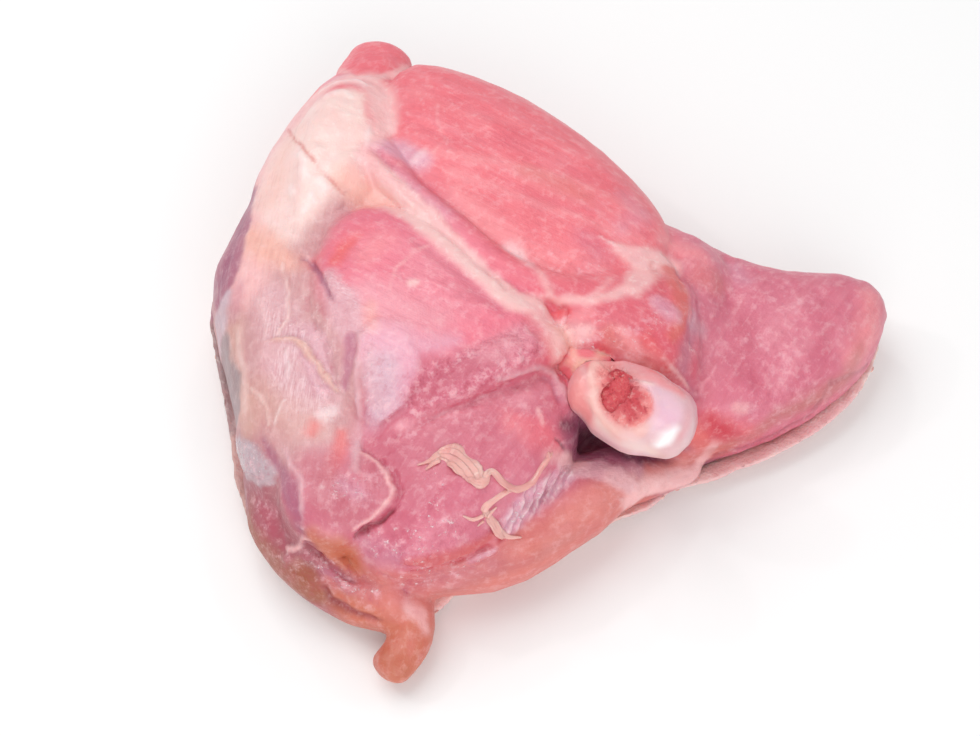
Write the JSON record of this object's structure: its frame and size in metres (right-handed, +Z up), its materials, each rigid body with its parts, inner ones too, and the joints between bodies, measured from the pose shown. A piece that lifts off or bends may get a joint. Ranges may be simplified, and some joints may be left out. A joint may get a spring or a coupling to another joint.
{
  "type": "raw turkey thigh",
  "caption": "Raw bone-in turkey thigh lying on its skin: seamed pink muscles over a curled skin, with the cut end of the femur and its red marrow standing free at the front.",
  "frame": {"origin": "under the middle of the thigh, on the surface that it lies on", "axes": "+Z up, +Y from the tail at the front to the knee end at the back, +X to the hip muscle at the right"},
  "size_m": [0.1644, 0.1714, 0.0429],
  "materials": {
    "flesh": "moist raw meat, satin with small wet glints",
    "skin": "pale raw skin with feather follicles, slightly moist",
    "bone": "glossy white cartilage",
    "marrow": "wet spongy red marrow",
    "fascia": "moist cream connective tissue"
  },
  "bodies": {
    "root": {"meat": "flesh", "skin": "skin", "femur": "bone", "marrow": "marrow", "loose_strand": "fascia"}
  },
  "joints": []
}
